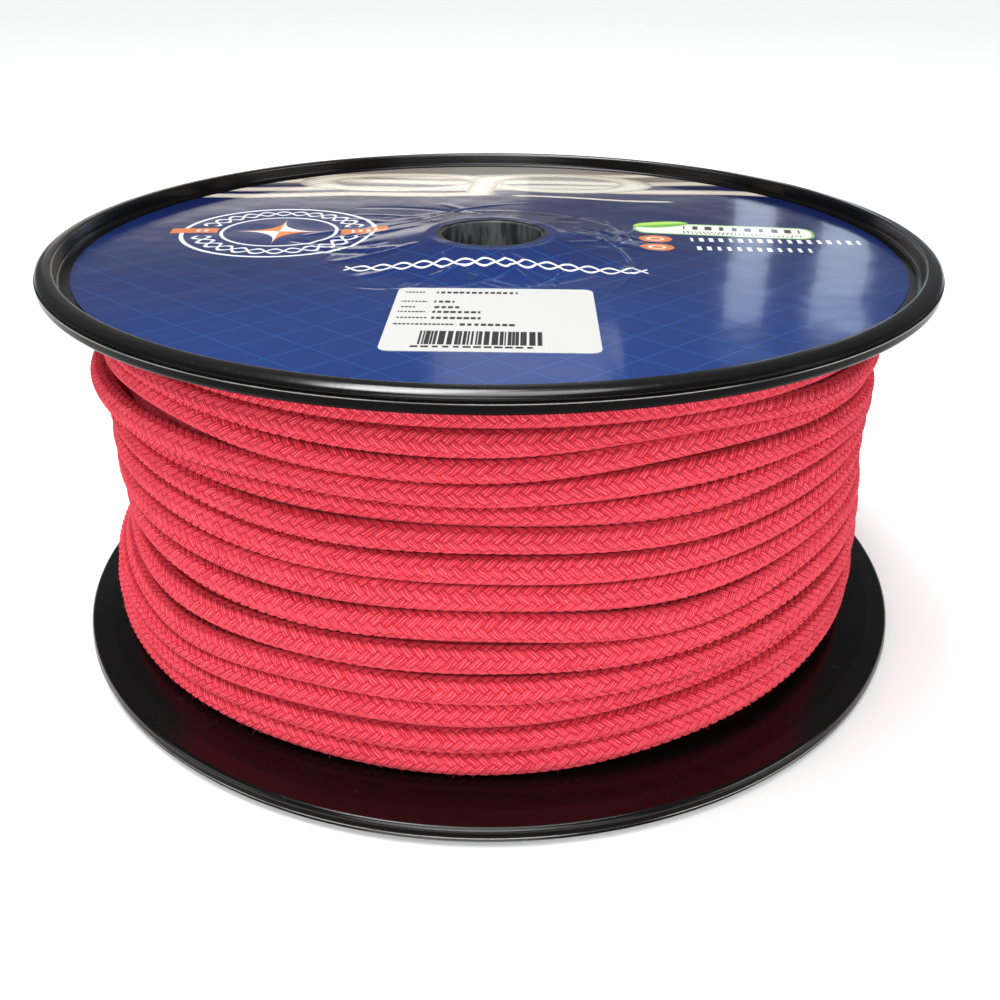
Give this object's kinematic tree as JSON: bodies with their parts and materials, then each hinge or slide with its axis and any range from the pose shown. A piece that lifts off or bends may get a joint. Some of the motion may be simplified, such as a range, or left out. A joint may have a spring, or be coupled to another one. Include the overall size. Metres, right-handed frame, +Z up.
{
  "type": "rope reel",
  "caption": "Flanged plastic reel with a central spindle bore, wound full with braided dock line, with a printed face label and a stock label.",
  "frame": {"origin": "centre of the plane that the lower flange rests on, on the reel's axis", "axes": "+Z up along the reel's axis; -Y is the side that the stock label is read from"},
  "size_m": [0.31, 0.31, 0.14],
  "materials": {
    "flange_plastic": "glossy black moulded polystyrene with fine scuffs",
    "barrel_plastic": "satin black extruded tube",
    "arbor_plastic": "glossy black tube with a rough sawn end",
    "zinc_steel": "bright zinc plated",
    "red_braid": "matt spun polyester braid, slightly hairy",
    "packing_tape": "paper tape, matt and slightly creased",
    "printed_film": "glossy laminated print, wrinkled over the hub",
    "label_paper": "white thermal paper with black print"
  },
  "bodies": {
    "root": {"bottom_flange": "flange_plastic", "top_flange": "flange_plastic", "barrel": "barrel_plastic", "arbor_tube": "arbor_plastic", "tie_bolts": "zinc_steel", "tie_washers": "zinc_steel", "tie_nuts": "zinc_steel", "rope_inner_layers": "red_braid", "rope_middle_layers": "red_braid", "rope_outer_layer": "red_braid", "start_knot": "red_braid", "end_tape": "packing_tape", "face_label": "printed_film", "stock_label": "label_paper"}
  },
  "joints": []
}
